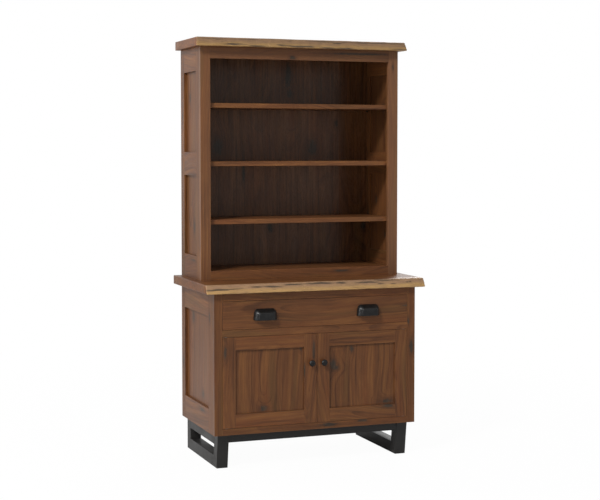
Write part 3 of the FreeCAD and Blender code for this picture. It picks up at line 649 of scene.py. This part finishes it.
def ripple(place, lengths, seed):
    """Waves of the given lengths added up, each with its own start, between about -1 and 1."""
    starts = np.random.default_rng(seed).uniform(0.0, 2 * math.pi, len(lengths))
    waves = [np.sin(2 * math.pi * place / length + start) for length, start in zip(lengths, starts)]
    return sum(waves) / math.sqrt(len(lengths))


def part_way(pair, share):
    """The value a share of the way from the first of a pair to the second."""
    return pair[0] + (pair[1] - pair[0]) * share


def eased_stations(length, ease, count):
    """Stations along a board, in shares of its length, and how far its section draws in at each.

    The section draws in by a quarter circle over the ease at either end, and nowhere else.
    """
    steps = np.array([0.0, 0.25, 0.6, 1.0])
    draw = (1 - np.sqrt(1 - (1 - steps) ** 2)) * ease
    steps = steps * ease / length
    inner = np.linspace(0.0, 1.0, count)[1:-1]
    stations = np.concatenate([steps, inner, 1 - steps[::-1]])
    return stations[:, None], np.concatenate([draw, 0 * inner, draw[::-1]])[:, None]


def bark_reach(x, share, rise, tall, reach, lean, seed):
    """How far the bark face stands out from the body below, at shares of the board's length and height.

    That is its reach less its lean, a slow sway along the board, puffs that stand out at some
    heights and fall back at others, and coarse and fine ripples.
    """
    sway = 0.0012 * np.sin(2 * math.pi * (share * 3.3 + 0.15))
    puff_rises, puff_shares = (0.0, 0.05, 0.28, 0.52, 0.76, 0.95, 1.0), (0.2, 0.3, 1.0, -0.5, 0.7, 0.2, 0.1)
    puff = 0.0016 * np.sin(2 * math.pi * (share * 7.1 + 0.62)) * np.interp(rise, puff_rises, puff_shares)
    coarse = 0.0007 * ripple(x + 0.25 * rise * tall, (0.21, 0.12, 0.074, 0.043), seed)
    fine = 0.0005 * ripple(x * 0.7 + rise * tall * 2.6, (0.05, 0.031, 0.019), seed + 1)
    return part_way(reach, share) - part_way(lean, share) * rise + sway + puff + coarse + fine


def live_edge_board(name, node, body_front, reach, lean, seed):
    """A board whose cross-section is carried from end to end.

    Round the section: the bark face from its lower edge up, the top to the back, and the underside
    forward again. The bark face's edges and the board's long edges are rounded by quarter circles,
    and the ends are eased by sections that draw in, and closed by the end section shrinking to its
    middle. A vertex attribute keeps how far behind the bark face a point lies. reach and lean are
    pairs: at the left end and at the right.
    """
    low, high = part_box(node)
    length, tall, ease = high.x - low.x, high.z - low.z, 0.0022
    share, draw = eased_stations(length, ease, 301)
    x = low.x + share * length

    def strip(y, z):
        return np.stack(np.broadcast_arrays(x, y, z), axis=-1)

    rise = np.linspace(0.0, 1.0, 25)[None, :]
    out = bark_reach(x, share, rise, tall, reach, lean, seed)
    corner = 0.004 + 0.0012 * ripple(x, (0.33, 0.17, 0.09), seed + 2)
    into_corner = np.maximum(corner - np.minimum(rise, 1 - rise) * tall, 0.0)
    tuck = corner - np.sqrt(np.maximum(corner ** 2 - into_corner ** 2, 0.0))
    bark = strip(body_front - out + tuck + draw, low.z + draw + rise * (tall - 2 * draw))

    across = np.array([0.15, 0.35, 0.6, 0.85])[None, :]
    turn = np.linspace(0.0, math.pi / 2, 5)[None, :]
    rear = high.y - ease
    top = strip(part_way((bark[:, -1:, 1], rear), across), high.z - draw + 0 * across)
    rear_top = strip(high.y - draw - ease * (1 - np.sin(turn)), high.z - draw - ease * (1 - np.cos(turn)))
    rear_foot = strip(high.y - draw - ease * (1 - np.cos(turn)), low.z + draw + ease * (1 - np.sin(turn)))
    under = strip(part_way((rear, bark[:, :1, 1]), across), low.z + draw + 0 * across)
    section = np.concatenate([bark, top, rear_top, rear_foot, under], axis=1)

    first, last = section[0], section[-1]
    middles = [first.mean(axis=0), last.mean(axis=0)]
    closing = [part_way((middles[0], first), part) for part in (0.25, 0.7)]
    closing_last = [part_way((middles[1], last), part) for part in (0.7, 0.25)]
    rings = np.array([*closing, *section, *closing_last])
    board = skin(name, rings[:, ::-1], ends=middles, closed=True)

    x, y, z = points_of(board.data).T
    share, rise = (x - low.x) / length, (z - low.z) / tall
    behind = board.data.attributes.new("behind", "FLOAT", "POINT")
    behind.data.foreach_set("value", y - body_front + part_way(reach, share) - part_way(lean, share) * rise)
    return board


def sapwood(node, streaks, depth, widest, strength, seed):
    """Lays pale sapwood over the wood near the bark face, and brown streaks of grown-in bark on it.

    The sapwood is golden along the face's foot and duller above, and reaches further into the board
    towards its right end, from depth to widest. strength is how light it is. A streak is (along,
    up, half length, half height), in metres, and noise bends it and breaks up its outline.
    """
    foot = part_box(node)[0].z

    def over(finish, colour):
        x, y, z = finish.axes
        behind = finish.node("ShaderNodeAttribute", {"attribute_name": "behind"}, {}, "Fac")
        flow = finish.noise(finish.joined(x * 9.0, y * 30.0, z * 30.0 + seed), detail=3.0)
        grain = finish.noise(finish.joined(x * 14.0, y * 260.0, z * 260.0 + seed), detail=3.0, roughness=0.6)
        wisp = finish.noise(finish.joined(x * 26.0, y * 60.0 + seed, z * 330.0), detail=3.0, roughness=0.6)
        golden = (z + (flow - 0.5) * 0.030).spread(foot + 0.008, foot + 0.026, 0.20, -0.12)
        pale = finish.ramp(flow * 0.4 + grain * 0.6 + golden, (0.28, SAP_PINK), (0.5, SAP), (0.72, SAP_GOLD))
        inward = behind + (flow - 0.5) * 0.016 + (grain - 0.5) * 0.005 - x.spread(0.30, 0.47, depth, widest)
        colour = finish.blend(inward.spread(0.0, 0.004, 1.0, 0.0), colour, finish.shade(strength, pale))
        marks = wisp.spread(0.56, 0.72, 0.0, 0.55)
        for along, up, long, tall in streaks:
            off_along = (x - along) / (long * 1.5)
            off_up = (z - up + (flow - 0.5) * 0.009) / (tall * 1.15)
            off = (off_along * off_along + off_up * off_up).root() + (wisp - 0.5) * 2.0 + (grain - 0.5) * 0.6
            marks = off.spread(0.35, 1.2, 0.9, 0.0).most(marks)
        on_bark_face = behind.spread(0.004, 0.009, 1.0, 0.0)
        return finish.blend(marks * on_bark_face, colour, BARK)
    return over


lower_streaks = (
    (-0.440, 0.7665, 0.062, 0.0040), (-0.274, 0.7735, 0.024, 0.0024), (-0.209, 0.7730, 0.034, 0.0036),
    (-0.114, 0.7785, 0.036, 0.0036), (0.008, 0.7790, 0.058, 0.0042), (0.104, 0.7780, 0.018, 0.0044),
    (0.232, 0.7765, 0.048, 0.0036), (0.290, 0.7690, 0.012, 0.0020), (0.312, 0.7840, 0.046, 0.0026),
    (0.350, 0.7680, 0.010, 0.0020), (0.416, 0.7705, 0.006, 0.0026), (0.432, 0.7715, 0.005, 0.0024),
)
lower_top = live_edge_board("lower_top", "base_top_slab", body_front=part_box("base_face_stiles")[0].y,
                            reach=(0.0265, 0.027), lean=(0.015, 0.024), seed=5)
kept(lower_top, walnut("lower top", "x", "y", 101.0, heart=0.07, ring=0.013, first=-0.02,
                       tone=1.13, shine=0.13,
                       over=sapwood("base_top_slab", lower_streaks, depth=0.004, widest=0.042,
                                    strength=1.0, seed=2.0)),
     "cabinet", "live_edge_walnut", "base_top_slab")

# Hutch
# Side frames and a face frame like those of the cupboard, round an open case with three shelves on
# pins and a back of six boards, tongued into each other. Dowels keep it in place on the lower top.

hutch_knots = {
    "hutch_left_stiles": ((1.500, 0.240, 0.018, 0.006),),
    "hutch_left_rails": ((0.075, 0.868, 0.030, 0.004),),
    "hutch_left_panels": ((1.578, 0.154, 0.024, 0.009), (1.415, 0.039, 0.024, 0.009),
                          (1.010, 0.094, 0.030, 0.012)),
    "hutch_right_stiles": ((1.050, 0.235, 0.020, 0.006),),
    "hutch_right_rails": ((0.120, 1.290, 0.030, 0.008),),
    "hutch_right_panels": ((1.540, 0.070, 0.022, 0.013), (1.120, 0.150, 0.018, 0.009),
                           (0.960, 0.050, 0.014, 0.008)),
}
for side, seed in (("left", 111.0), ("right", 131.0)):
    node = f"hutch_{side}_stiles"
    dress(node, walnut(f"hutch {side} stiles", "z", "y", seed, knots=hutch_knots[node],
                       tone=0.96, shine=0.12, **boards_of(node, "y", 2)))
    node = f"hutch_{side}_rails"
    dress(node, walnut(f"hutch {side} rails", "y", "z", seed + 3, knots=hutch_knots[node],
                       tone=0.96, shine=0.12, **boards_of(node, "z", 3)))
    node = f"hutch_{side}_panels"
    dress(node, walnut(f"hutch {side} panels", "z", "y", seed + 6, knots=hutch_knots[node],
                       ring=0.013, tone=0.93, shine=0.12,
                       boards=[("z", middle_of(node, "z"))], first=middle_of(node, "y")))


def painted_grey_sheen(left, right):
    """Paints a grey-tan sheen over the stain, by one share left of the middle and another right of it."""
    def over(finish, colour):
        sheen_share = (finish.axes[0] > 0.0) * (right - left) + left
        return finish.blend(sheen_share, colour, srgb(134, 104, 82))
    return over


# The face stiles get a painted grey sheen, stronger right of the middle.
dress("hutch_face_stiles", walnut("hutch face stiles", "z", "x", 151.0, over=painted_grey_sheen(0.1, 0.2),
                                  knots=((1.720, 0.437, 0.016, 0.004),),
                                  **boards_of("hutch_face_stiles", "x", 2)))
# The top rail's tone of 0.8 paints it darker, as painted shade on top of the shadow that the upper top
# casts, and it gets a weaker painted grey sheen.
dress("hutch_face_top_rail", walnut("hutch top rail", "x", "z", 153.0, tone=0.8, over=painted_grey_sheen(0.12, 0.12),
                                    first=middle_of("hutch_face_top_rail", "z"),
                                    knots=((-0.041, 1.750, 0.014, 0.008), (0.270, 1.774, 0.130, 0.004))))
# The bottom rail's tone of 1.3 paints it lighter than the other boards, as painted light on it.
dress("hutch_face_bottom_rail", walnut("hutch bottom rail", "x", "z", 154.0, tone=1.3,
                                       first=middle_of("hutch_face_bottom_rail", "z"),
                                       knots=((0.190, 0.812, 0.034, 0.0045),)))
dress("hutch_floor", walnut("hutch floor", "x", "y", 155.0, knots=((-0.12, 0.09, 0.030, 0.012),)))
dress("hutch_shelves", walnut("hutch shelves", "x", "y", 157.0, tone=1.06,
                              boards=boards_of("hutch_shelves", "z", 3)["boards"],
                              knots=((0.21, 0.10, 0.028, 0.010),)))
dress("hutch_shelf_pins", aged)
dress("hutch_dowels", plain_wood("dowels", "z", 21.0))

back_boards = boards_of("hutch_back_boards", "x", 6)
last_border = back_boards["boards"][-1][1]


def greyed(finish, colour):
    """The back boards' stain took unevenly, in dull grey-brown patches, strands and thin dark lines.

    The last board on the right stayed darker and redder.
    """
    x, z = finish.axes[0], finish.axes[2]
    patch = finish.noise(finish.joined(x * 9.0, 0.0, z * 2.2), detail=4.0, roughness=0.6)
    strand = finish.noise(finish.joined(x * 48.0, 3.0, z * 3.0), detail=5.0, roughness=0.75)
    line = finish.noise(finish.joined(x * 130.0, 9.0, z * 1.4), roughness=0.6)
    red = x > last_border
    dull = patch.spread(0.35, 0.65, 0.1, 0.6) * (1.0 - red * 0.85)
    grey = finish.ramp(strand, (0.3, srgb(66, 47, 36)), (0.7, srgb(112, 85, 65)))
    colour = finish.blend(dull, colour, grey)
    light = strand.spread(0.32, 0.68, 0.88, 1.10) + patch.spread(0.3, 0.7, -0.16, 0.22)
    light = light * line.spread(0.55, 0.64, 1.0, 0.62)
    return finish.shade(light * (1.0 - red * 0.2), colour)


back_knots = (
    (1.607, 0.053, 0.020, 0.012), (1.690, 0.046, 0.060, 0.016), (1.358, 0.166, 0.036, 0.022),
    (1.361, -0.290, 0.040, 0.024), (1.470, 0.284, 0.016, 0.008), (0.992, -0.042, 0.022, 0.012),
    (1.250, -0.170, 0.050, 0.006), (0.992, 0.421, 0.020, 0.012),
)
dress("hutch_back_boards", walnut("hutch back boards", "z", "x", 161.0, ring=0.013, rough=0.25,
                                  over=greyed, knots=back_knots, **back_boards))

# Upper top
# The same board as the lower top, in a narrower width, with more lean to its bark face.

upper_streaks = (
    (-0.320, 1.8010, 0.042, 0.0040), (-0.215, 1.7960, 0.034, 0.0030), (-0.106, 1.8010, 0.018, 0.0040),
    (-0.016, 1.7985, 0.062, 0.0040), (0.112, 1.7955, 0.030, 0.0030), (0.155, 1.8165, 0.020, 0.0030),
    (0.190, 1.7940, 0.042, 0.0030), (0.450, 1.7970, 0.034, 0.0024), (-0.409, 1.8215, 0.036, 0.0018),
    (-0.255, 1.8215, 0.048, 0.0018), (0.095, 1.8225, 0.052, 0.0022), (0.300, 1.8210, 0.090, 0.0022),
    (0.430, 1.8230, 0.050, 0.0018),
)
upper_top = live_edge_board("upper_top", "hutch_top_slab", body_front=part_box("hutch_face_stiles")[0].y,
                            reach=(0.039, 0.046), lean=(0.005, 0.029), seed=9)
kept(upper_top, walnut("upper top", "x", "y", 171.0, heart=0.07, ring=0.013, tone=1.1, shine=0.13,
                       over=sapwood("hutch_top_slab", upper_streaks, depth=0.006, widest=0.016,
                                    strength=0.72, seed=4.0)),
     "cabinet", "live_edge_walnut", "hutch_top_slab")

# Room, lamps and camera
# A white studio, with a pale floor that fades into white. A soft lamp stands high on the left of the
# camera and a tall narrow one low beside it. Weaker lamps light the back, and the room lights all.


def white_world(level):
    """White to the camera, in reflections and through glass, and an even light on everything else."""
    world = bpy.data.worlds.new("studio")
    bpy.context.scene.world = world
    world.use_nodes = True
    tree = world.node_tree
    ray = tree.nodes.new("ShaderNodeLightPath")
    shown = ray.outputs["Is Camera Ray"]
    for kind in ("Is Glossy Ray", "Is Transmission Ray"):
        either = tree.nodes.new("ShaderNodeMath")
        either.operation = "MAXIMUM"
        tree.links.new(shown, either.inputs[0])
        tree.links.new(ray.outputs[kind], either.inputs[1])
        shown = either.outputs[0]
    strength = tree.nodes.new("ShaderNodeMapRange")
    tree.links.new(shown, strength.inputs["Value"])
    strength.inputs["To Min"].default_value = level
    strength.inputs["To Max"].default_value = 1.0
    background = tree.nodes["Background"]
    background.inputs["Color"].default_value = (1.0, 1.0, 1.0, 1.0)
    tree.links.new(strength.outputs[0], background.inputs["Strength"])


def pale_floor(half):
    """A wide floor that keeps a light shadow near the sled, and is plain white to the camera beyond."""
    mesh = bpy.data.meshes.new("floor")
    mesh.from_pydata([(-half, -half, 0), (half, -half, 0), (half, half, 0), (-half, half, 0)],
                     [], [(0, 1, 2, 3)])
    floor = bpy.data.objects.new("floor", mesh)
    bpy.context.scene.collection.objects.link(floor)
    finish = Finish("pale floor").put(Base_Color=(0.85, 0.85, 0.85), Roughness=0.9)
    glow = finish.node("ShaderNodeEmission", {}, {"Color": (1.0, 1.0, 1.0), "Strength": 1.0})
    seen = finish.node("ShaderNodeLightPath", {}, {}, "Is Camera Ray")
    matt = Reading(finish, finish.shader.outputs[0])
    x, y = finish.axes[:2]
    white = (x * x + y * y).root().spread(0.9, 3.5, 0.97, 1.0)
    mixed = finish.node("ShaderNodeMixShader", {}, {0: seen * white, 1: matt, 2: glow})
    finish.tree.links.new(mixed.socket, finish.tree.nodes["Material Output"].inputs["Surface"])
    mesh.materials.append(finish.material)


def lamp(name, place, aim, wide, tall, watts):
    """A soft lamp: a lit oval of the given width and height, turned towards its aim."""
    light = bpy.data.lights.new(name, "AREA")
    light.shape = "ELLIPSE"
    light.size = wide
    light.size_y = tall
    light.energy = watts
    holder = bpy.data.objects.new(name, light)
    bpy.context.scene.collection.objects.link(holder)
    holder.location = place
    way = Vector(aim) - Vector(place)
    holder.rotation_euler = way.to_track_quat("-Z", "Y").to_euler()


white_world(level=0.33)
pale_floor(half=14.0)
lamp("left key", place=(-4.8, -4.0, 5.5), aim=(0.0, 0.0, 0.9), wide=1.4, tall=1.4, watts=445.0)
lamp("tall box", place=(-4.4, -1.6, 1.6), aim=(0.0, 0.0, 0.7), wide=0.35, tall=2.8, watts=52.0)
lamp("back fill", place=(-5.0, 2.6, 3.4), aim=(-0.4, 0.0, 1.0), wide=3.0, tall=3.0, watts=25.0)
lamp("rear", place=(3.8, 4.4, 3.8), aim=(0.3, 0.2, 1.0), wide=3.0, tall=3.0, watts=150.0)

camera_data = bpy.data.cameras.new("camera")
camera_data.lens = 84.252
camera_data.sensor_width = 36.0
camera_data.shift_y = -0.04
camera = bpy.data.objects.new("camera", camera_data)
bpy.context.scene.collection.objects.link(camera)
bpy.context.scene.camera = camera
camera.location = (-2.1528, -5.8343, 1.3560)
pitch_down, turned_right = math.radians(3.164), math.radians(20.336)
camera.rotation_euler = (math.pi / 2 - pitch_down, 0.0, -turned_right)
bpy.context.scene.view_settings.view_transform = "Standard"
